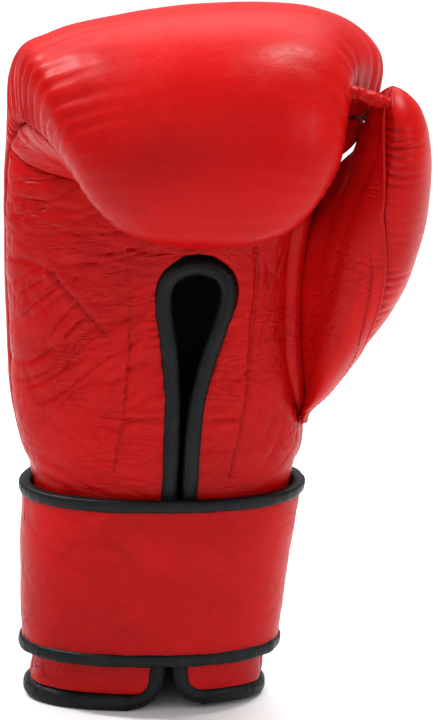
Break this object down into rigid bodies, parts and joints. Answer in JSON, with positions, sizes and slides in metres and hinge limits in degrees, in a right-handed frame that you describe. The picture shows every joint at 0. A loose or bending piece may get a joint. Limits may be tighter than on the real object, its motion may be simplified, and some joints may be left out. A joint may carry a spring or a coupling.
{
  "type": "boxing glove",
  "caption": "Padded right-hand boxing glove with a curled fist, attached thumb, slit palm with bound edges and a wrap-around wrist strap.",
  "frame": {"origin": "middle of the glove's footprint on the plane of the cuff's rim", "axes": "+Z from the cuff to the knuckles, palm and curled fingers towards -Y, thumb towards +X"},
  "size_m": [0.1786, 0.1382, 0.3018],
  "materials": {
    "red_leather": "glossy red cowhide with fine grain and creases",
    "black_binding": "semi-gloss black rolled binding",
    "black_lining": "matt black woven lining",
    "pad_foam": "closed-cell foam, hidden inside",
    "hook_and_loop": "black hook-and-loop tape"
  },
  "bodies": {
    "glove": {"cuff_back_panel": "red_leather", "cuff_foam": "pad_foam", "cuff_lining": "black_lining", "finger_lining": "black_lining", "finger_panel": "red_leather", "fingertip_foam": "pad_foam", "fold_gusset_pinky": "red_leather", "fold_gusset_thumb": "red_leather", "grip_bar": "pad_foam", "hand_back_foam": "pad_foam", "hem_binding": "black_binding", "knuckle_foam_firm": "pad_foam", "knuckle_foam_soft": "pad_foam", "knuckle_lining": "black_lining", "knuckle_panel": "red_leather", "loop_patch": "hook_and_loop", "palm_foam_pinky": "pad_foam", "palm_foam_thumb": "pad_foam", "palm_lining": "black_lining", "palm_panel_pinky": "red_leather", "palm_panel_thumb": "red_leather", "slit_binding": "black_binding", "strap_root_binding_bottom": "black_binding", "strap_root_binding_top": "black_binding", "strap_root_core": "pad_foam", "strap_root_leather": "red_leather", "strap_root_lining": "black_lining", "thumb_lock_strap": "red_leather", "thumb_side_lining": "black_lining"},
    "strap_palm": {"strap_palm_binding_bottom": "black_binding", "strap_palm_binding_top": "black_binding", "strap_palm_core": "pad_foam", "strap_palm_leather": "red_leather", "strap_palm_lining": "black_lining"},
    "strap_side": {"strap_side_binding_bottom": "black_binding", "strap_side_binding_top": "black_binding", "strap_side_core": "pad_foam", "strap_side_leather": "red_leather", "strap_side_lining": "black_lining"},
    "strap_tab": {"hook_patch": "hook_and_loop", "strap_tab_binding_bottom": "black_binding", "strap_tab_binding_end": "black_binding", "strap_tab_binding_top": "black_binding", "strap_tab_core": "pad_foam", "strap_tab_leather": "red_leather", "strap_tab_lining": "black_lining"},
    "thumb": {"thumb_back_foam": "pad_foam", "thumb_back_panel": "red_leather", "thumb_base_lining": "black_lining", "thumb_foam": "pad_foam", "thumb_front_foam": "pad_foam", "thumb_front_panel": "red_leather", "thumb_outer_panel": "red_leather", "thumb_seam_cord": "red_leather", "thumb_tip_lining": "black_lining"}
  },
  "joints": [
    {"name": "strap_open", "type": "hinge", "parent": "glove", "child": "strap_palm", "pos_m": [0.02902, 0.01796, 0.0565], "axis": [0.1393, 0, 0.9902], "range_deg": [0, 75]},
    {"name": "strap_fold", "type": "hinge", "parent": "strap_palm", "child": "strap_side", "pos_m": [-0.08246, 0.00397, 0.0565], "axis": [0.0168, -0.005, 0.9998], "range_deg": [0, 105]},
    {"name": "strap_tab_peel", "type": "hinge", "parent": "strap_side", "child": "strap_tab", "pos_m": [-0.06643, 0.05167, 0.0565], "axis": [0.0347, 0.0333, 0.9988], "range_deg": [0, 40]},
    {"name": "thumb_flex", "type": "hinge", "parent": "glove", "child": "thumb", "pos_m": [0.0365, 0.005, 0.124], "axis": [0, 1, 0], "range_deg": [0, 4], "stiffness_Nm_per_rad": 0.3}
  ],
  "couplings": [
    {"joint": "strap_fold", "follows": "strap_open", "ratio": 1.4}
  ]
}
